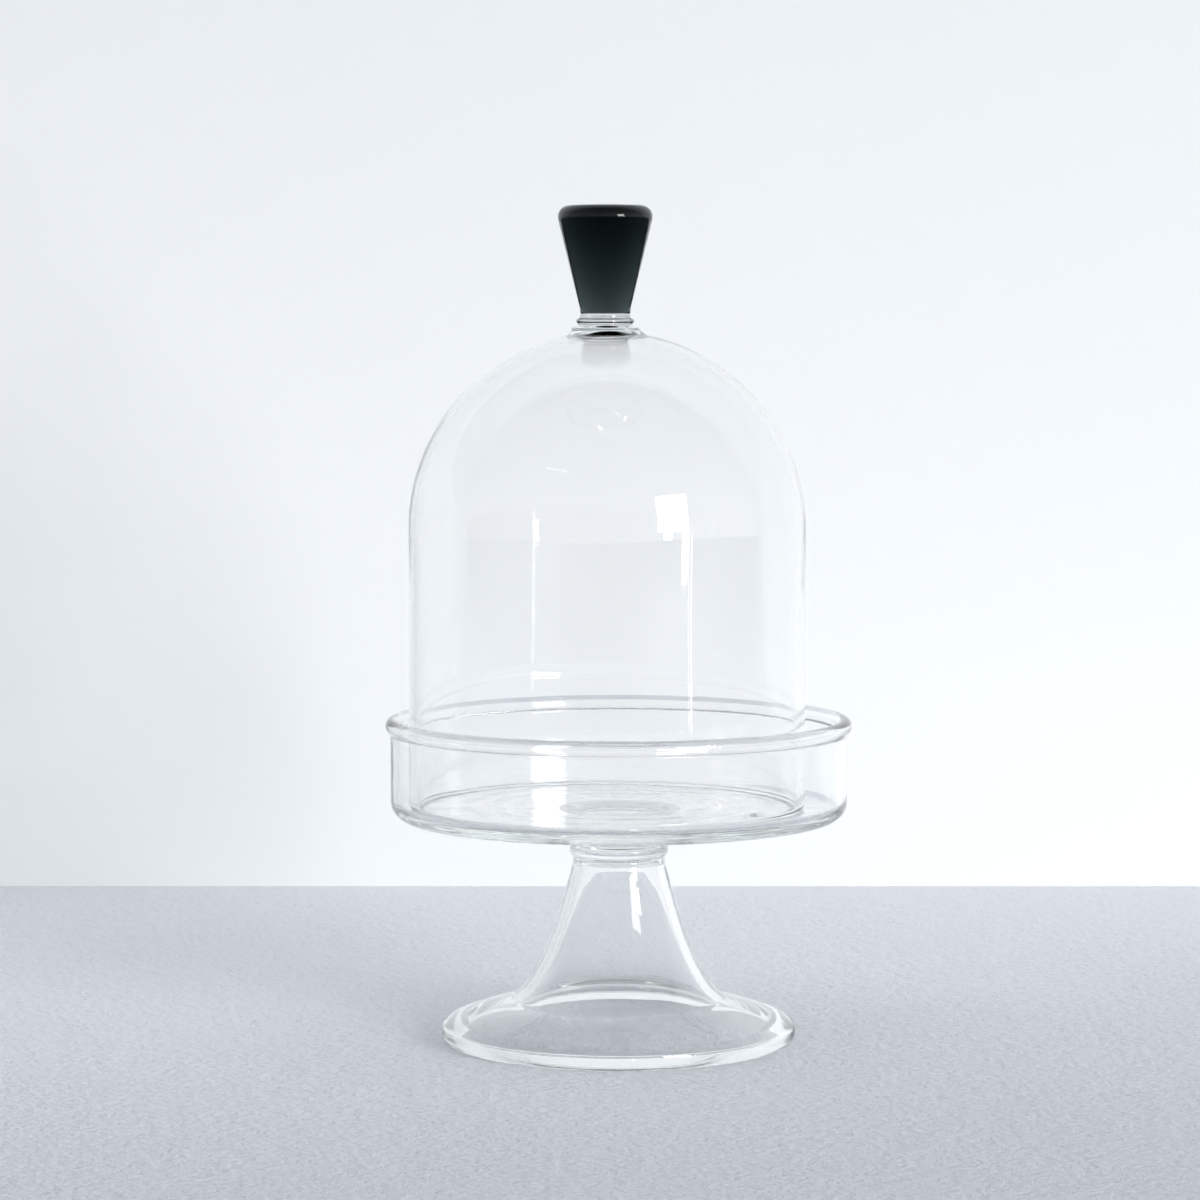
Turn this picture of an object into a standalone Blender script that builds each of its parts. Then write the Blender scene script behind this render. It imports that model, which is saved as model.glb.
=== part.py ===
"""Small footed glass cloche, also called a bell jar dome.

A blown dome with a dark pull knob stands loose in a shallow glass dish, and
the dish is fused through a short solid button to a hollow flared foot.

Metres, +Z up. The origin is the centre of the foot's resting ring.
Every piece is a turned shape: a closed outline in (radius, height) that is
spun about its own vertical axis.
"""

from math import acos, cos, degrees, radians, sin, sqrt, tau

import bmesh
import bpy

MM = 0.001
GAP = 0.3 * MM  # clearance between meshes that touch on the real object

# Foot: a hollow trumpet that spreads into a domed flange with a thick edge.
FOOT_R = 47.5 * MM
FOOT_EDGE_Z = 3.2 * MM  # height of the widest point
FOOT_WALL = 2.6 * MM
FOOT_SHOULDER = (28.8 * MM, 11.8 * MM)  # where the trumpet meets the flange
FOOT_REST_OUT = 45.6 * MM  # flat ring it stands on
FOOT_REST_IN = 43.4 * MM
STEM_TOP_R = 12.3 * MM
STEM_TOP_Z = 48.0 * MM

# Solid button of glass between the foot and the dish.
BUTTON_TOP_R = 15.0 * MM
BUTTON_WAIST_R = 12.7 * MM

# Dish: flat floor, upright wall, rolled rim.
DISH_BASE_Z = 60.1 * MM
DISH_FLOOR_Z = 63.4 * MM
DISH_WALL_R = 61.1 * MM
DISH_WALL = 2.4 * MM
DISH_BASE_CORNER = 5.0 * MM
DISH_FLOOR_CORNER = 2.0 * MM
RIM_BEAD_R = 2.1 * MM
RIM_OUT_R = 62.5 * MM
RIM_Z = 85.2 * MM

# Dome: a cylinder under a half sphere, standing a little off centre.
DOME_R = 53.0 * MM
DOME_WALL = 2.0 * MM
DOME_CENTRE_Z = 137.3 * MM
DOME_OFFSET_X = -3.1 * MM

# Clear collar fused to the top of the dome, and the dark knob on it.
COLLAR_R = 10.0 * MM  # where it runs out on the dome
COLLAR_TOP_Z = 194.8 * MM
COLLAR_EDGE = 0.25 * MM  # thickness of that run-out
KNOB_BOTTOM_R = 6.7 * MM
KNOB_R = 12.6 * MM
KNOB_TOP_Z = 224.0 * MM
KNOB_CROWN = 0.6 * MM  # rise of the top from its shoulder to its middle
KNOB_CORNER = 3.1 * MM
KNOB_NECK = 1.8 * MM  # length of the straight neck under the taper
PULL_OFFSET_X = DOME_OFFSET_X - 0.5 * MM  # collar and knob are set on by hand, just off the dome's middle

FACETS = 48  # sides of the wide turned pieces
SMALL_FACETS = 36  # sides of the button, collar and knob
MERGE = 0.001 * MM


def arc(centre, radius, start, end, steps):
    """Points of a round arc about centre, from start to end degrees; 0 points outwards, 90 up."""
    angles = [radians(start + (end - start) * i / steps) for i in range(steps + 1)]
    return [(centre[0] + radius * cos(a), centre[1] + radius * sin(a)) for a in angles]


def curve(a, b, c, d, steps):
    """Points of a cubic Bezier from a to d with handles b and c."""
    points = []
    for i in range(steps + 1):
        t = i / steps
        weights = ((1 - t) ** 3, 3 * (1 - t) ** 2 * t, 3 * (1 - t) * t * t, t**3)
        points.append(tuple(sum(w * p[k] for w, p in zip(weights, (a, b, c, d))) for k in (0, 1)))
    return points


def glass(name, colour, roughness=0.05):
    """A plain glass-coloured material."""
    material = bpy.data.materials.new(name)
    material.use_nodes = True
    shader = material.node_tree.nodes["Principled BSDF"]
    shader.inputs["Base Color"].default_value = (*colour, 1.0)
    shader.inputs["Roughness"].default_value = roughness
    shader.inputs["Metallic"].default_value = 0.0
    shader.inputs["IOR"].default_value = 1.47
    return material


def turned(name, outline, material, facets, x=0.0):
    """One closed body: the outline in (radius, height), spun about Z and moved to x.

    An outline that starts off the axis is a ring; one that starts on it also ends on it.
    """
    bm = bmesh.new()
    verts = [bm.verts.new((r, 0.0, z)) for r, z in outline]
    edges = [bm.edges.new(pair) for pair in zip(verts, verts[1:])]
    if outline[0][0] > MERGE:
        edges.append(bm.edges.new((verts[-1], verts[0])))
    bmesh.ops.spin(
        bm, geom=verts + edges, cent=(0, 0, 0), axis=(0, 0, 1), angle=tau, steps=facets, use_merge=True
    )
    bmesh.ops.remove_doubles(bm, verts=bm.verts, dist=MERGE)
    bmesh.ops.recalc_face_normals(bm, faces=bm.faces)
    mesh = bpy.data.meshes.new(name)
    bm.to_mesh(mesh)
    bm.free()
    mesh.shade_smooth()
    mesh.set_sharp_from_angle(angle=radians(40))
    mesh.materials.append(material)
    piece = bpy.data.objects.new(name, mesh)
    piece.location.x = x
    bpy.context.collection.objects.link(piece)
    return piece


def make_foot(material):
    """Open trumpet: outer side from the stem down to the resting ring, then back up the inside."""
    shoulder_r, shoulder_z = FOOT_SHOULDER
    trumpet = curve(
        (STEM_TOP_R, STEM_TOP_Z),
        (STEM_TOP_R + 3.2 * MM, STEM_TOP_Z - 11.7 * MM),
        (shoulder_r - 8.3 * MM, shoulder_z + 5.5 * MM),
        (shoulder_r, shoulder_z),
        9,
    )
    flange = curve(
        (shoulder_r, shoulder_z),
        (shoulder_r + 11.6 * MM, shoulder_z - 3.7 * MM),
        (FOOT_R, FOOT_EDGE_Z + 3.5 * MM),
        (FOOT_R, FOOT_EDGE_Z),
        8,
    )
    edge = curve(
        (FOOT_R, FOOT_EDGE_Z),
        (FOOT_R, FOOT_EDGE_Z - 1.9 * MM),
        (FOOT_REST_OUT + 1.1 * MM, 0.0),
        (FOOT_REST_OUT, 0.0),
        4,
    )
    under_edge = curve(
        (FOOT_REST_IN, 0.0),
        (FOOT_REST_IN - 1.2 * MM, 0.0),
        (FOOT_REST_IN - 1.6 * MM, 2.4 * MM),
        (FOOT_REST_IN - 3.6 * MM, 3.6 * MM),
        4,
    )
    throat = (shoulder_r - 1.2 * MM, shoulder_z - 2.9 * MM)
    under_flange = curve(
        under_edge[-1],
        (FOOT_REST_IN - 6.4 * MM, 4.9 * MM),
        (throat[0] + 7.0 * MM, throat[1] - 2.3 * MM),
        throat,
        6,
    )
    bore_top_r = STEM_TOP_R - FOOT_WALL
    bore = curve(
        throat,
        (throat[0] - 9.0 * MM, throat[1] + 5.0 * MM),
        (bore_top_r + 3.2 * MM, STEM_TOP_Z - 11.7 * MM),
        (bore_top_r, STEM_TOP_Z),
        9,
    )
    outline = trumpet + flange[1:] + edge[1:] + under_edge + under_flange[1:] + bore[1:]
    turned("foot", outline, material, FACETS)


def make_button(material):
    """Solid waisted disc that closes the stem and spreads under the dish floor."""
    low, high = STEM_TOP_Z + GAP, DISH_BASE_Z - GAP
    side = curve(
        (BUTTON_TOP_R, high),
        (BUTTON_WAIST_R, high - 2.4 * MM),
        (BUTTON_WAIST_R + 0.2 * MM, low + 4.0 * MM),
        (STEM_TOP_R, low),
        7,
    )
    turned("stem_button", [(0.0, high)] + side + [(0.0, low)], material, SMALL_FACETS)


def make_dish(material):
    """Flat floor and upright wall in one thickness of glass, with a round bead rolled at the rim."""
    inner_r = DISH_WALL_R - DISH_WALL
    bead = (RIM_OUT_R - RIM_BEAD_R, RIM_Z)
    outside = -bead_crossing(bead[0], DISH_WALL_R)
    inside = 360.0 - bead_crossing(bead[0], inner_r)
    corner = DISH_BASE_CORNER
    fillet = DISH_FLOOR_CORNER
    outline = [(0.0, DISH_FLOOR_Z)]
    outline += arc((inner_r - fillet, DISH_FLOOR_Z + fillet), fillet, -90, 0, 3)
    outline += arc(bead, RIM_BEAD_R, inside, outside, 12)
    outline += arc((DISH_WALL_R - corner, DISH_BASE_Z + corner), corner, 0, -90, 5)
    outline += [(0.0, DISH_BASE_Z)]
    turned("dish", outline, material, FACETS)


def bead_crossing(bead_r, wall_r):
    """Degrees between straight out and where the rim bead's circle meets a wall face at wall_r."""
    return degrees(acos((wall_r - bead_r) / RIM_BEAD_R))


def make_dome(material):
    """Open-bottomed shell: half sphere over a cylinder, with a rounded standing edge."""
    low = DISH_FLOOR_Z + GAP
    inner_r = DOME_R - DOME_WALL
    centre = (0.0, DOME_CENTRE_Z)
    edge_r = DOME_WALL / 2
    outline = arc(centre, DOME_R, 90, 0, 13)
    outline += arc((DOME_R - edge_r, low + edge_r), edge_r, 0, -90, 2)
    outline += arc((inner_r + edge_r, low + edge_r), edge_r, -90, -180, 2)[1:]
    outline += arc(centre, inner_r, 0, 90, 13)
    turned("dome_shell", outline, material, FACETS, DOME_OFFSET_X)


def on_dome(r):
    """Height of the sphere that lies one gap outside the dome, at radius r."""
    return DOME_CENTRE_Z + sqrt((DOME_R + GAP) ** 2 - r * r)


def make_collar(material):
    """Clear pad fused to the apex: it follows the dome below and narrows to the knob above."""
    side = curve(
        (KNOB_BOTTOM_R, COLLAR_TOP_Z),
        (KNOB_BOTTOM_R + 0.3 * MM, COLLAR_TOP_Z - 1.9 * MM),
        (COLLAR_R - 1.4 * MM, COLLAR_TOP_Z - 4.0 * MM),
        (COLLAR_R, on_dome(COLLAR_R) + COLLAR_EDGE),
        7,
    )
    seat = [(COLLAR_R * part, on_dome(COLLAR_R * part)) for part in (1.0, 0.66, 0.33, 0.0)]
    outline = [(0.0, COLLAR_TOP_Z)] + side + seat
    turned("knob_collar", outline, material, SMALL_FACETS, PULL_OFFSET_X)


def make_knob(material):
    """Solid tapered knob, wider at the top, with a rounded shoulder and a faintly domed top."""
    low = COLLAR_TOP_Z + GAP
    shoulder_r = KNOB_R - KNOB_CORNER
    outline = [(0.0, KNOB_TOP_Z), (shoulder_r / 2, KNOB_TOP_Z - KNOB_CROWN / 4)]
    outline += arc((shoulder_r, KNOB_TOP_Z - KNOB_CROWN - KNOB_CORNER), KNOB_CORNER, 90, -14, 6)
    outline += curve(
        (KNOB_BOTTOM_R + 0.6 * MM, low + KNOB_NECK + 1.6 * MM),
        (KNOB_BOTTOM_R + 0.3 * MM, low + KNOB_NECK + 0.4 * MM),
        (KNOB_BOTTOM_R, low + KNOB_NECK),
        (KNOB_BOTTOM_R, low),
        3,
    )
    outline += [(0.0, low)]
    turned("knob", outline, material, SMALL_FACETS, PULL_OFFSET_X)


def main():
    for old in list(bpy.data.objects):
        bpy.data.objects.remove(old, do_unlink=True)
    clear = glass("clear_glass", (0.80, 0.87, 0.86))
    clear_thick = glass("clear_glass_thick", (0.72, 0.82, 0.80))
    smoked = glass("smoked_glass", (0.012, 0.018, 0.018), 0.04)
    make_foot(clear)
    make_button(clear_thick)
    make_dish(clear)
    make_dome(clear)
    make_collar(clear_thick)
    make_knob(smoked)


main()
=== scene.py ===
"""Looks of the footed glass cloche: fire-polished clear glass, a smoked glass knob, a pale set.

Glass that is fused on the real object is drawn as one closed surface, because a seam between
two solids would mirror light where the real glass lets it through: the foot, stem button and dish
are one turned piece, and the dome with its collar is another. The knob is a third.

Metres, +Z up, in the frame of the CAD model. Lengths below are given in millimetres times MM.
"""

from math import cos, pi, radians, sin

import bpy
import numpy as np
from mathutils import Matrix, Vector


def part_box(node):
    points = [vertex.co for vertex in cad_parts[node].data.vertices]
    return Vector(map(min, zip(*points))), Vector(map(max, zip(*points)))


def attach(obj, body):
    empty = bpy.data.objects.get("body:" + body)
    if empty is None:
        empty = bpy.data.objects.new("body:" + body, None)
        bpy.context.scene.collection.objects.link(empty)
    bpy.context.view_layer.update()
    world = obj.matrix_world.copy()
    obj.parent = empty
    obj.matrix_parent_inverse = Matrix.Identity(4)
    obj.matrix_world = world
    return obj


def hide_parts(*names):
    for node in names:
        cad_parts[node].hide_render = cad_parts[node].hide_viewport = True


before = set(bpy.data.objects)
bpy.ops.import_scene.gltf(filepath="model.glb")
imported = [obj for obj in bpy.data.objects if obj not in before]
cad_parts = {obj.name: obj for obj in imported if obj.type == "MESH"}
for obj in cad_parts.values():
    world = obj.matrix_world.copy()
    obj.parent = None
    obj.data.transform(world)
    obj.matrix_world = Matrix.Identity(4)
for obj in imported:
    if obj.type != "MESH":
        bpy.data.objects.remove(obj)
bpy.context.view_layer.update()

MM = 0.001

# Places read from the CAD model: a node's lowest corner, its highest, or both.
foot_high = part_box("foot")[1]
dish_low, dish_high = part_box("dish")
dome_low, dome_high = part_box("dome_shell")
collar_low, collar_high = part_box("knob_collar")
knob_low, knob_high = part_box("knob")

FOOT_R = foot_high.x
STEM_TOP_Z = foot_high.z
DISH_BASE_Z = dish_low.z
RIM_OUT_R = dish_high.x - 0.1 * MM  # leaves room for the hand's drift
DOME_R = (dome_high.x - dome_low.x) / 2
DOME_X = (dome_high.x + dome_low.x) / 2
DOME_FOOT_Z = dome_low.z
DOME_CENTRE_Z = dome_high.z - DOME_R
PULL_X = (knob_high.x + knob_low.x) / 2
KNOB_R = (knob_high.x - knob_low.x) / 2
COLLAR_R = (collar_high.x - collar_low.x) / 2
COLLAR_TOP_Z = collar_high.z
KNOB_TOP_Z = knob_high.z

# Thicknesses and turned details that a box doesn't show.
FOOT_WALL, STEM_THINNING = 2.6 * MM, 0.6 * MM  # the wall thins towards the top of the stem
FOOT_EDGE_Z = 3.2 * MM
FOOT_SHOULDER = (28.8 * MM, 11.8 * MM)
FOOT_REST_OUT, FOOT_REST_IN = 45.6 * MM, 43.4 * MM
STEM_TOP_R = 12.3 * MM
BUTTON_TOP_R, BUTTON_WAIST_R = 15.0 * MM, 12.7 * MM
PAD_Z, WELD_Z = 53.4 * MM, 49.9 * MM  # the two creases round the button
DISH_WALL_R, DISH_WALL = 61.1 * MM, 2.4 * MM
DISH_FLOOR_Z = DISH_BASE_Z + 3.3 * MM
DISH_BASE_CORNER, DISH_FLOOR_CORNER = 5.0 * MM, 2.0 * MM
SPUN_RING, SPUN_STEP = 0.07 * MM, 8.5 * MM  # rings left in the dish floor by spinning: height and spacing
RIM_BEAD_R = 2.1 * MM
DOME_WALL = 2.0 * MM
FOLD, FOLD_STEP, FOLD_Z = 0.6 * MM, 2.2 * MM, 191.0 * MM  # folds round the collar: depth, spacing, one crest
FOLDS_LOW, FOLDS_HIGH = 190.6 * MM, 194.2 * MM  # where they begin and end
APEX_RISE, APEX_REACH = 0.7 * MM, 5.0 * MM  # the inside is drawn up a little under the collar
KNOB_BOTTOM_R = 6.7 * MM
KNOB_CORNER, KNOB_CROWN, KNOB_NECK = 3.1 * MM, 0.35 * MM, 1.8 * MM

POLISH = 0.22 * MM  # how far the flame has softened every edge
BEND_WEIGHT = 4.0 * MM  # a bend of one radian gets as many points as this length
AROUND = 192  # steps round a wide turned piece
SMALL_AROUND = 128


# ---------------------------------------------------------------- turned shapes


def arc(centre, radius, start, end, steps=24):
    """Points (radius, height) of a round arc about centre: centre + radius (cos a, sin a), a in degrees."""
    a = np.radians(np.linspace(start, end, steps))
    return np.column_stack((centre[0] + radius * np.cos(a), centre[1] + radius * np.sin(a)))


def curve(a, b, c, d, steps=48):
    """Cubic Bezier from a to d with handles b and c: the four points weighted by the Bernstein terms."""
    t = np.linspace(0, 1, steps)[:, None]
    a, b, c, d = (np.asarray(p, float) for p in (a, b, c, d))
    return (1 - t) ** 3 * a + 3 * (1 - t) ** 2 * t * b + 3 * (1 - t) * t**2 * c + t**3 * d


def softened(outline, blur, count):
    """An outline with its corners melted round, as count points set closer together where it bends.

    The outline is sampled evenly along its length, mirrored in the axis past both ends so that it
    meets the axis squarely, and averaged with a bell-shaped window of width blur.
    """
    keep = np.r_[True, np.linalg.norm(np.diff(outline, axis=0), axis=1) > 1e-7]
    outline = outline[keep]
    length = np.r_[0, np.cumsum(np.linalg.norm(np.diff(outline, axis=0), axis=1))]
    step = blur / 6
    at = np.linspace(0, length[-1], int(length[-1] / step))
    line = np.column_stack([np.interp(at, length, outline[:, k]) for k in (0, 1)])
    reach = 24
    mirror = np.array((-1.0, 1.0))
    padded = np.vstack((line[reach:0:-1] * mirror, line, line[-2 : -reach - 2 : -1] * mirror))
    window = np.exp(-0.5 * (np.arange(-reach, reach + 1) * step / blur) ** 2)
    window /= window.sum()
    line = np.column_stack([np.convolve(padded[:, k], window, "valid") for k in (0, 1)])
    line[[0, -1], 0] = 0.0
    along = np.diff(line, axis=0)
    heading = np.unwrap(np.arctan2(along[:, 1], along[:, 0]))
    turn = np.abs(np.diff(heading, prepend=heading[0]))
    effort = np.r_[0, np.cumsum(np.linalg.norm(along, axis=1) + BEND_WEIGHT * turn)]
    picked = np.linspace(0, effort[-1], count)
    return np.column_stack([np.interp(picked, effort, line[:, k]) for k in (0, 1)])


def lathe(name, outline, around, drift=None, shift=None):
    """A closed turned mesh: (r, z) at angle t goes to (r + drift) (cos t, sin t), z, moved by shift in X.

    The outline starts and ends on the axis, where its end points become single pole vertices.
    drift(r, z, t) is a small change of radius, for glass blown and turned by hand, and shift(z) the
    X position of the axis at a height.
    """
    t = np.linspace(0, 2 * pi, around, endpoint=False)[None, :]
    r, z = outline[1:-1, 0][:, None], outline[1:-1, 1][:, None]
    width = r + (drift(r, z, t) if drift else 0.0)
    place = shift(z) if shift else 0.0
    rings = np.stack((width * np.cos(t) + place, width * np.sin(t), z + 0 * t), axis=-1)
    poles = np.zeros((2, 3))
    poles[:, 2] = outline[[0, -1], 1]
    if shift:
        poles[:, 0] = shift(poles[:, 2])
    verts = np.vstack((rings.reshape(-1, 3), poles))
    n, m = rings.shape[:2]
    ring, step = np.meshgrid(np.arange(n - 1), np.arange(m), indexing="ij")
    nxt = (step + 1) % m
    quads = np.stack((ring * m + step, (ring + 1) * m + step, (ring + 1) * m + nxt, ring * m + nxt), axis=-1)
    s, e = np.arange(m), (np.arange(m) + 1) % m
    first = np.column_stack((np.full(m, n * m), s, e))
    last = np.column_stack((np.full(m, n * m + 1), (n - 1) * m + e, (n - 1) * m + s))
    mesh = bpy.data.meshes.new(name)
    mesh.from_pydata(verts, [], [*quads.reshape(-1, 4).tolist(), *first.tolist(), *last.tolist()])
    mesh.validate()
    mesh.shade_smooth()
    piece = bpy.data.objects.new(name, mesh)
    bpy.context.collection.objects.link(piece)
    return piece


def hand_drift(size, seed):
    """Slow waves of a hand-turned gather: sine waves round the piece whose phase climbs with height."""
    rng = np.random.default_rng(seed)
    waves = [(k, rng.uniform(0, 2 * pi), rng.uniform(20, 70)) for k in (2, 3, 5, 8)]

    def drift(r, z, t):
        fade = np.clip(r / (12 * MM), 0, 1) ** 2
        return size * fade * sum(np.sin(k * t + phase + climb * z) / k for k, phase, climb in waves)

    return drift


def face_angle(bead_r, wall_r):
    """Degrees, from straight out, at which the rim bead's circle crosses the wall face at wall_r."""
    return float(np.degrees(np.arccos((wall_r - bead_r) / RIM_BEAD_R)))


def stand_outline():
    """Dish floor, wall, rim bead, outer wall and base, then button, trumpet and edge, and back up the bore.

    The floor's rings are a sine of the radius, fading out at the axis and at the wall.
    """
    inner_r = DISH_WALL_R - DISH_WALL
    bead = (RIM_OUT_R - RIM_BEAD_R, dish_high.z - RIM_BEAD_R)
    fillet, corner = DISH_FLOOR_CORNER, DISH_BASE_CORNER
    shoulder_r, shoulder_z = FOOT_SHOULDER
    throat = (shoulder_r - 1.2 * MM, shoulder_z - 2.9 * MM)
    bore_r = STEM_TOP_R - FOOT_WALL + STEM_THINNING
    floor_r = np.linspace(0, inner_r - fillet, 240)
    rings = SPUN_RING * np.sin(2 * pi * floor_r / SPUN_STEP) * np.sin(pi * floor_r / floor_r[-1]) ** 2
    parts = [
        np.column_stack((floor_r, DISH_FLOOR_Z + rings)),
        arc((inner_r - fillet, DISH_FLOOR_Z + fillet), fillet, -90, 0),
        arc(bead, RIM_BEAD_R, 360 - face_angle(bead[0], inner_r), -face_angle(bead[0], DISH_WALL_R), 64),
        arc((DISH_WALL_R - corner, DISH_BASE_Z + corner), corner, 0, -90, 40),
        curve(
            (BUTTON_TOP_R + 1.5 * MM, DISH_BASE_Z),
            (BUTTON_TOP_R - 0.8 * MM, DISH_BASE_Z - 0.2 * MM),
            (BUTTON_WAIST_R + 0.3 * MM, PAD_Z + 4.0 * MM),
            (BUTTON_WAIST_R, PAD_Z),
        ),
        curve(
            (BUTTON_WAIST_R - 0.4 * MM, PAD_Z - 0.05 * MM),
            (BUTTON_WAIST_R + 0.9 * MM, PAD_Z - 0.3 * MM),
            (BUTTON_WAIST_R + 0.7 * MM, WELD_Z + 0.2 * MM),
            (STEM_TOP_R - 0.4 * MM, WELD_Z),
        ),
        curve(
            (STEM_TOP_R - 0.35 * MM, WELD_Z - 0.05 * MM),
            (STEM_TOP_R + 0.3 * MM, WELD_Z - 0.2 * MM),
            (STEM_TOP_R - 0.1 * MM, STEM_TOP_Z + 0.6 * MM),
            (STEM_TOP_R, STEM_TOP_Z),
        ),
        curve(
            (STEM_TOP_R, STEM_TOP_Z),
            (STEM_TOP_R + 3.2 * MM, STEM_TOP_Z - 11.7 * MM),
            (shoulder_r - 8.3 * MM, shoulder_z + 5.5 * MM),
            (shoulder_r, shoulder_z),
            96,
        ),
        curve(
            (shoulder_r, shoulder_z),
            (shoulder_r + 11.6 * MM, shoulder_z - 3.7 * MM),
            (FOOT_R, FOOT_EDGE_Z + 3.5 * MM),
            (FOOT_R, FOOT_EDGE_Z),
            64,
        ),
        curve(
            (FOOT_R, FOOT_EDGE_Z),
            (FOOT_R, FOOT_EDGE_Z - 1.9 * MM),
            (FOOT_REST_OUT + 1.1 * MM, 0.0),
            (FOOT_REST_OUT, 0.0),
        ),
        curve(
            (FOOT_REST_IN, 0.0),
            (FOOT_REST_IN - 1.2 * MM, 0.0),
            (FOOT_REST_IN - 1.6 * MM, 2.4 * MM),
            (FOOT_REST_IN - 3.6 * MM, 3.6 * MM),
        ),
        curve(
            (FOOT_REST_IN - 3.6 * MM, 3.6 * MM),
            (FOOT_REST_IN - 6.4 * MM, 4.9 * MM),
            (throat[0] + 7.0 * MM, throat[1] - 2.3 * MM),
            throat,
            64,
        ),
        curve(
            throat,
            (throat[0] - 8.8 * MM, throat[1] + 4.8 * MM),
            (bore_r + 3.0 * MM, STEM_TOP_Z - 13.0 * MM),
            (bore_r, STEM_TOP_Z - 0.7 * MM),
            96,
        ),
        curve(
            (bore_r, STEM_TOP_Z - 0.7 * MM),
            (bore_r - 0.2 * MM, STEM_TOP_Z + 0.8 * MM),
            (bore_r - 1.5 * MM, STEM_TOP_Z + 1.1 * MM),
            (0.0, STEM_TOP_Z + 1.4 * MM),
        ),
    ]
    return np.vstack(parts)


def dome_outline():
    """Collar top, flare onto the sphere, half sphere, wall, standing edge, and back up inside to the apex.

    The flare is a curve whose radius has the folds added, a cosine of the height that fades out at both
    ends. The inside is a sphere raised by a bell curve of the radius.
    """
    inner_r = DOME_R - DOME_WALL
    lip = DOME_WALL / 2
    run_out = COLLAR_R + 0.6 * MM
    run_out_z = DOME_CENTRE_Z + (DOME_R**2 - run_out**2) ** 0.5
    start = float(np.degrees(np.arccos(run_out / DOME_R)))
    centre = (0.0, DOME_CENTRE_Z)
    flare = curve(
        (KNOB_BOTTOM_R, COLLAR_TOP_Z),
        (KNOB_BOTTOM_R + 0.3 * MM, COLLAR_TOP_Z - 1.9 * MM),
        (COLLAR_R - 1.4 * MM, COLLAR_TOP_Z - 4.0 * MM),
        (run_out, run_out_z),
        400,
    )
    inside = arc(centre, inner_r, 0, 90, 160)
    inside[:, 1] += APEX_RISE * np.exp(-((inside[:, 0] / APEX_REACH) ** 2))
    height = np.clip((flare[:, 1] - FOLDS_LOW) / (FOLDS_HIGH - FOLDS_LOW), 0, 1)
    flare[:, 0] += FOLD * np.sin(pi * height) ** 0.5 * np.cos(2 * pi * (flare[:, 1] - FOLD_Z) / FOLD_STEP)
    parts = [
        [(0.0, COLLAR_TOP_Z + 0.4 * MM), (KNOB_BOTTOM_R - 0.5 * MM, COLLAR_TOP_Z + 0.4 * MM)],
        flare,
        arc(centre, DOME_R, start, 0, 160),
        arc((DOME_R - lip, DOME_FOOT_Z + lip), lip, 0, -180, 32),
        inside,
    ]
    return np.vstack(parts)


def knob_outline():
    """Domed top, round shoulder, straight taper, short neck, and a base let a little into the collar."""
    low = COLLAR_TOP_Z + 0.1 * MM
    shoulder_r = KNOB_R - KNOB_CORNER
    top = KNOB_TOP_Z - KNOB_CROWN
    parts = [
        curve((0.0, KNOB_TOP_Z), (shoulder_r * 0.4, KNOB_TOP_Z), (shoulder_r * 0.8, top), (shoulder_r, top)),
        arc((shoulder_r, top - KNOB_CORNER), KNOB_CORNER, 90, -14),
        curve(
            (KNOB_BOTTOM_R + 0.6 * MM, low + KNOB_NECK + 1.8 * MM),
            (KNOB_BOTTOM_R + 0.3 * MM, low + KNOB_NECK + 0.6 * MM),
            (KNOB_BOTTOM_R + 0.05 * MM, low + KNOB_NECK),
            (KNOB_BOTTOM_R + 0.05 * MM, low + 0.3 * MM),
        ),
        [(KNOB_BOTTOM_R - 0.3 * MM, low), (0.0, low)],
    ]
    return np.vstack(parts)


def knob_axis(z):
    """X of the knob's axis, the same at every height."""
    return PULL_X + 0 * z


def dome_axis(z):
    """X of the dome's axis at a height: its own, easing over to the pull's between sphere and collar."""
    ease = np.clip((z - dome_high.z + 1.5 * MM) / (2.5 * MM), 0, 1)
    return DOME_X + (PULL_X - DOME_X) * ease * ease * (3 - 2 * ease)


# ---------------------------------------------------------------- materials


class Wire:
    """A shader socket in a node tree. Arithmetic on it adds Math nodes."""

    def __init__(self, tree, socket):
        self.tree, self.socket = tree, socket

    def maths(self, operation, a, b):
        node = self.tree.nodes.new("ShaderNodeMath")
        node.operation = operation
        for into, value in zip(node.inputs, (a, b)):
            plug(self.tree, into, value)
        return Wire(self.tree, node.outputs[0])

    def __add__(self, other):
        return self.maths("ADD", self, other)

    def __sub__(self, other):
        return self.maths("SUBTRACT", self, other)

    def __rsub__(self, other):
        return self.maths("SUBTRACT", other, self)

    def __mul__(self, other):
        return self.maths("MULTIPLY", self, other)

    __radd__, __rmul__ = __add__, __mul__


def plug(tree, socket, value):
    """Links a wire into a socket, or sets the socket's own value."""
    if isinstance(value, Wire):
        tree.links.new(value.socket, socket)
    else:
        socket.default_value = value


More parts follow.
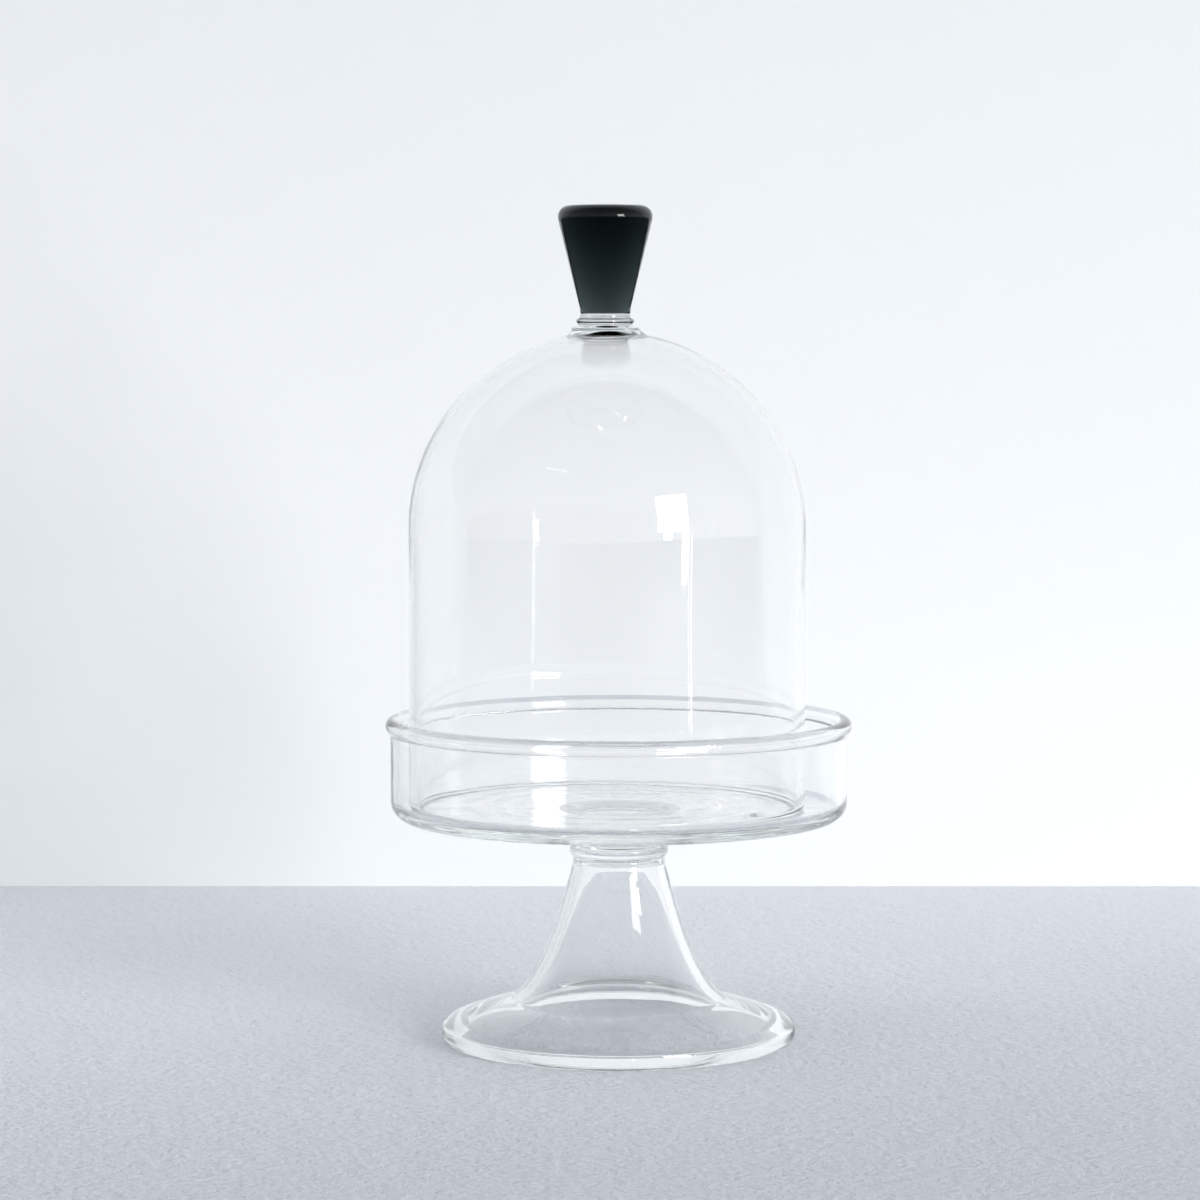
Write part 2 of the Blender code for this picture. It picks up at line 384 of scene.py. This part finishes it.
class Nodes:
    """A fresh node tree that hands out its nodes' outputs as wires."""

    def __init__(self, owner):
        owner.use_nodes = True
        self.tree = owner.node_tree
        self.tree.nodes.clear()

    def node(self, kind, settings=None, out=0, **sockets):
        """One node of a type: settings first, then sockets by name with _ for a space; returns one output."""
        made = self.tree.nodes.new("ShaderNode" + kind)
        for key, value in (settings or {}).items():
            if key == "stops":
                ramp = made.color_ramp
                while len(ramp.elements) < len(value):
                    ramp.elements.new(0.5)
                for element, (place, grey) in zip(ramp.elements, value):
                    element.position, element.color = place, (*grey, 1.0)
            else:
                setattr(made, key, value)
        for key, value in sockets.items():
            name = key.replace("_", " ")
            found = [s for s in made.inputs if s.name == name and s.enabled]
            plug(self.tree, found[0], value)
        return Wire(self.tree, made.outputs[out])

    def place(self, scale=(1.0, 1.0, 1.0)):
        """Object coordinates, stretched."""
        where = self.node("TexCoord", out=3)
        return self.node("Mapping", Vector=where, Scale=scale)

    def noise(self, where, scale, detail=3.0, roughness=0.5):
        return self.node("TexNoise", Vector=where, Scale=scale, Detail=detail, Roughness=roughness)

    def output(self, kind="Material", **sockets):
        out = self.tree.nodes.new("ShaderNodeOutput" + kind)
        for key, value in sockets.items():
            plug(self.tree, out.inputs[key], value)


# How much of a lamp's light is dimmed, from a surface met squarely (0) to one met edge-on (1).
EDGE_SHADE = [(0.0, 0.0), (0.25, 0.10), (0.5, 0.42), (0.8, 0.85), (1.0, 1.0)]
CLEAR_INDEX, SMOKE_INDEX = 1.47, 1.36  # the smoked glass mirrors the room only faintly


def glass(name, absorbed, density, cord, seed, bend=CLEAR_INDEX):
    """Fire-polished glass: clear, tinted by depth, with faint cords from the gather and a trace of handling.

    absorbed and density are the tint and how fast it deepens with thickness, cord is the height of the
    surface's slow waves in metres, and bend is the refractive index. Light from a lamp or a wall passes
    straight through, dimmed where it meets the surface edge-on, which gives clear glass its pale shadow.
    """
    material = bpy.data.materials.new(name)
    n = Nodes(material)
    gather = n.noise(n.place((1.0, 1.0, 0.35)), 38.0 + seed, 1.5, 0.4)
    skin = n.noise(n.place(), 160.0, 2.0)
    bump = n.node("Bump", Strength=1.0, Distance=cord, Height=gather + skin * 0.08)
    smears = n.noise(n.place((1.0, 1.0, 2.2)), 55.0 + seed, 5.0, 0.6)
    rough = n.node("MapRange", Value=smears, From_Min=0.52, From_Max=0.8, To_Min=0.0, To_Max=0.03)
    shader = n.node(
        "BsdfPrincipled",
        Base_Color=(1.0, 1.0, 1.0, 1.0),
        Transmission_Weight=1.0,
        IOR=bend,
        Roughness=rough,
        Normal=bump,
    )
    edge_on = n.node("LayerWeight", out=1, Blend=0.5)
    dimming = n.node("ValToRGB", {"stops": [(at, (grey,) * 3) for at, grey in EDGE_SHADE]}, Fac=edge_on)
    pale = n.node("BsdfTransparent", Color=(0.99, 0.99, 0.99, 1.0))
    dim = n.node("BsdfTransparent", Color=(0.04, 0.045, 0.045, 1.0))
    shader = mixed(n, n.node("LightPath", out=2), shader, pale)
    shader = mixed(n, n.node("LightPath", out=1), shader, mixed(n, dimming, pale, dim))
    volume = n.node("VolumeAbsorption", Color=(*absorbed, 1.0), Density=density)
    n.output(Surface=shader, Volume=volume)
    return material


def weld_face(name, absorbed, density):
    """The hidden face between two fused glasses: light goes straight through, and only the tint changes."""
    material = bpy.data.materials.new(name)
    n = Nodes(material)
    volume = n.node("VolumeAbsorption", Color=(*absorbed, 1.0), Density=density)
    n.output(Surface=n.node("BsdfTransparent"), Volume=volume)
    return material


def floor_plaster():
    """Grey-blue plaster with a fine trowelled grain and painted shade: darker to the front and right, and
    painted dark far out under the lamps so that their light doesn't burn it out.
    """
    material = bpy.data.materials.new("floor_plaster")
    n = Nodes(material)
    where = n.place()
    cloud = n.noise(where, 9.0, 4.0)
    grain = n.noise(where, 420.0, 6.0, 0.6)
    pits = n.noise(where, 130.0, 2.0)
    away = n.node("SeparateXYZ", Vector=where, out=1)
    across = n.node("SeparateXYZ", Vector=where, out=0)
    reach = n.node("MapRange", Value=away, From_Min=-1.5, From_Max=0.3, To_Min=0.0, To_Max=1.0)
    # Painted shade: the ramp darkens the plaster towards the front and the right, nearly to black far out
    # under the lamps.
    colour = n.node(
        "ValToRGB",
        {
            "stops": [
                (0.0, (0.09, 0.093, 0.10)),
                (0.28, (0.20, 0.207, 0.22)),
                (0.50, (0.57, 0.59, 0.62)),
                (0.725, (0.68, 0.705, 0.75)),
                (0.80, (0.755, 0.783, 0.832)),
                (0.87, (0.845, 0.872, 0.925)),
                (1.0, (0.885, 0.912, 0.96)),
            ]
        },
        Fac=reach - across * 0.35 + (cloud - 0.5) * 0.06 + (grain - 0.5) * 0.22,
    )
    bump = n.node("Bump", Strength=1.0, Distance=0.003, Height=grain * 0.7 + pits * 0.6)
    shader = n.node("BsdfPrincipled", Base_Color=colour, Roughness=0.9, Specular_IOR_Level=0.2, Normal=bump)
    n.output(Surface=shader)
    return material


def wall_paint():
    """White wall with painted shade, darker higher up and to the right, and clear from its back, so that
    views can look past.
    """
    material = bpy.data.materials.new("wall_paint")
    n = Nodes(material)
    where = n.place()
    cloud = n.noise(where, 5.0, 3.0)
    height = n.node("SeparateXYZ", Vector=where, out=2)
    side = n.node("SeparateXYZ", Vector=where, out=0)
    # Painted shade: the paint darkens higher up and towards the right.
    painted_shade = n.node("MapRange", Value=height + side * 0.3, From_Min=0.10, From_Max=0.50, To_Min=0.0, To_Max=1.0)
    colour = n.node(
        "ValToRGB",
        {"stops": [(0.0, (0.89, 0.91, 0.92)), (0.6, (0.80, 0.825, 0.84)), (1.0, (0.75, 0.775, 0.80))]},
        Fac=painted_shade + (cloud - 0.5) * 0.10,
    )
    paint = n.node("BsdfDiffuse", Color=colour)
    behind = n.node("NewGeometry", out=6)
    clear = n.node("BsdfTransparent")
    n.output(Surface=mixed(n, behind, paint, clear))
    return material


def mixed(n, factor, first, second):
    """A Mix Shader of two wires."""
    node = n.tree.nodes.new("ShaderNodeMixShader")
    for socket, value in zip(node.inputs, (factor, first, second)):
        plug(n.tree, socket, value)
    return Wire(n.tree, node.outputs[0])


# ---------------------------------------------------------------- the object

CLEAR_TINT, CLEAR_DEPTH = (0.92, 0.97, 0.94), 6.0
SMOKE_TINT, SMOKE_DEPTH = (0.09, 0.17, 0.17), 255.0
clear = glass("dome_clear_glass", CLEAR_TINT, CLEAR_DEPTH, 0.12 * MM, 0)
clear_stand = glass("stand_clear_glass", CLEAR_TINT, CLEAR_DEPTH, 0.22 * MM, 3)
smoked = glass("knob_smoked_glass", SMOKE_TINT, SMOKE_DEPTH, 0.06 * MM, 7, SMOKE_INDEX)
joint_clear = weld_face("joint_clear", CLEAR_TINT, CLEAR_DEPTH)
joint_smoked = weld_face("joint_smoked", SMOKE_TINT, SMOKE_DEPTH)

stand = lathe("stand_glass", softened(stand_outline(), POLISH, 440), AROUND, hand_drift(0.16 * MM, 3))
dome = lathe("dome_glass", softened(dome_outline(), POLISH, 420), AROUND, hand_drift(0.12 * MM, 5), dome_axis)
knob = lathe(
    "knob_glass", softened(knob_outline(), POLISH, 120), SMALL_AROUND, hand_drift(0.05 * MM, 9), knob_axis
)


def weld(piece, material, low, high, radius):
    """Gives the flat faces where two glasses are fused a surface that neither bends nor mirrors light."""
    mesh = piece.data
    at = np.empty(len(mesh.polygons) * 3)
    mesh.polygons.foreach_get("center", at)
    at = at.reshape(-1, 3)
    inside = (at[:, 2] > low) & (at[:, 2] < high) & (np.hypot(at[:, 0] - PULL_X, at[:, 1]) < radius)
    mesh.materials.append(material)
    mesh.polygons.foreach_set("material_index", inside.astype(np.int32))


for piece, material, body, slot, nodes in (
    (stand, clear_stand, "stand", "clear_glass", ("foot", "stem_button", "dish")),
    (dome, clear, "dome", "clear_glass", ("dome_shell", "knob_collar")),
    (knob, smoked, "dome", "smoked_glass", ("knob",)),
):
    piece.data.materials.append(material)
    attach(piece, body)
    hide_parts(*nodes)

weld(dome, joint_clear, COLLAR_TOP_Z + 0.2 * MM, COLLAR_TOP_Z + 1.0 * MM, KNOB_BOTTOM_R - 0.3 * MM)
weld(knob, joint_smoked, COLLAR_TOP_Z - 0.1 * MM, COLLAR_TOP_Z + 0.25 * MM, KNOB_BOTTOM_R - 0.15 * MM)


# ---------------------------------------------------------------- the set


def plane(name, corners, material):
    """A flat four-cornered sheet, its front given by the corners' order."""
    mesh = bpy.data.meshes.new(name)
    mesh.from_pydata(corners, [], [(0, 1, 2, 3)])
    sheet = bpy.data.objects.new(name, mesh)
    mesh.materials.append(material)
    bpy.context.collection.objects.link(sheet)


WALL_Y, WALL_TOP = 0.285, 2.2
SIDE = 3.0  # how far floor and wall reach to each side, and the floor to the front
plane(
    "floor",
    [(-SIDE, -SIDE, 0), (SIDE, -SIDE, 0), (SIDE, WALL_Y, 0), (-SIDE, WALL_Y, 0)],
    floor_plaster(),
)
plane(
    "wall",
    [(-SIDE, WALL_Y, 0), (SIDE, WALL_Y, 0), (SIDE, WALL_Y, WALL_TOP), (-SIDE, WALL_Y, WALL_TOP)],
    wall_paint(),
)


def dark_card(name, height, near, far):
    """A level ring of dark card under the knob, from radius near to far, seen only from above in reflections.

    It keeps the pale table out of the knob's taper, as a black card does in a studio.
    """
    a = np.linspace(0, 2 * pi, 72, endpoint=False)
    round_ = np.column_stack((np.cos(a), np.sin(a), 0 * a))
    verts = np.vstack((round_ * near, round_ * far))
    verts[:, 0] += PULL_X
    verts[:, 1] = np.minimum(verts[:, 1], WALL_Y - 0.02)
    verts[:, 2] = height
    i = np.arange(a.size)
    j = (i + 1) % a.size
    mesh = bpy.data.meshes.new(name)
    mesh.from_pydata(verts, [], np.column_stack((i, i + a.size, j + a.size, j)).tolist())
    material = bpy.data.materials.new("black_card")
    n = Nodes(material)
    paper = n.node("BsdfDiffuse", Color=(0.02, 0.02, 0.022, 1.0))
    n.output(Surface=mixed(n, n.node("NewGeometry", out=6), paper, n.node("BsdfTransparent")))
    mesh.materials.append(material)
    card = bpy.data.objects.new(name, mesh)
    bpy.context.collection.objects.link(card)
    for seen in ("camera", "diffuse", "transmission", "shadow", "volume_scatter"):
        setattr(card, "visible_" + seen, False)


dark_card("dark_card", 0.172, 0.046, 0.6)


AIM_Z = 0.10  # lamps face this height on the object's axis


def lamp(name, azimuth, elevation, distance, size, radiance, colour=(1.0, 1.0, 1.0)):
    """A rectangular soft light facing the dish. Azimuth 0 is the camera's side and turns to the right."""
    light = bpy.data.lights.new(name, "AREA")
    light.shape = "RECTANGLE"
    light.size, light.size_y = size
    light.energy = radiance * size[0] * size[1] * pi  # W that give this radiance
    light.color = colour
    ob = bpy.data.objects.new(name, light)
    a, e = radians(azimuth), radians(elevation)
    ob.location = (distance * sin(a) * cos(e), -distance * cos(a) * cos(e), AIM_Z + distance * sin(e))
    ob.rotation_euler = (pi / 2 - e, 0, a)
    ob.visible_camera = False
    bpy.context.collection.objects.link(ob)
    return ob


DAYLIGHT = (1.0, 0.99, 0.97)
lamp("window", 38.0, 12.5, 2.0, (0.62, 0.68), 19.0, DAYLIGHT)
lamp("window_low", 35.0, 0.8, 2.0, (0.16, 0.14), 19.0, DAYLIGHT)
lamp("window_side", 45.5, -0.5, 2.0, (0.10, 0.24), 19.0, DAYLIGHT)
lamp("window_gap", 48.0, -2.0, 0.9, (0.006, 0.20), 30.0)
lamp("downlight_left", -9.0, 64.0, 1.9, (0.05, 0.03), 45.0)
lamp("downlight_right", 22.0, 69.0, 1.9, (0.03, 0.03), 90.0)
ceiling = lamp("ceiling", 0.0, 90.0, 1.7, (1.6, 1.6), 1.5, (0.98, 0.99, 1.0))
ceiling.visible_glossy = ceiling.visible_transmission = False

world = bpy.data.worlds.new("room")
bpy.context.scene.world = world
n = Nodes(world)
direction = n.node("TexCoord", out=0)
height = n.node("SeparateXYZ", Vector=direction, out=2)
across = n.node("SeparateXYZ", Vector=direction, out=0)
clutter = n.node("TexNoise", Vector=direction, Scale=1.6, Detail=2.0)
shade = n.node(
    "ValToRGB",
    {
        "stops": [
            (0.0, (0.30, 0.31, 0.33)),
            (0.50, (0.74, 0.75, 0.77)),
            (0.55, (0.72, 0.73, 0.75)),
            (0.66, (0.50, 0.51, 0.525)),
            (0.80, (0.32, 0.33, 0.345)),
            (1.0, (0.16, 0.165, 0.175)),
        ]
    },
    Fac=height * 0.5 + 0.5,
)
background = n.node("Background", Color=shade, Strength=across * 0.15 + clutter * 0.5 + 0.75)
n.output("World", Surface=background)

# Camera: a long lens level with the dome's shoulder, a little left of the stem.
LENS_MM, SENSOR_MM = 123.9, 36.0
CAMERA_X, CAMERA_Y, CAMERA_Z = -5.0 * MM, -1100.0 * MM, 201.9 * MM
CAMERA_TILT = 4.33
camera_data = bpy.data.cameras.new("camera")
camera_data.lens, camera_data.sensor_width = LENS_MM, SENSOR_MM
camera = bpy.data.objects.new("camera", camera_data)
camera.location = (CAMERA_X, CAMERA_Y, CAMERA_Z)
camera.rotation_euler = (radians(90.0 - CAMERA_TILT), 0.0, 0.0)
bpy.context.collection.objects.link(camera)

scene = bpy.context.scene
scene.camera = camera
scene.view_settings.view_transform = "Standard"
scene.cycles.max_bounces = 32
scene.cycles.transmission_bounces = 32
scene.cycles.glossy_bounces = 24
scene.cycles.transparent_max_bounces = 48
scene.cycles.caustics_reflective = False
scene.cycles.caustics_refractive = False
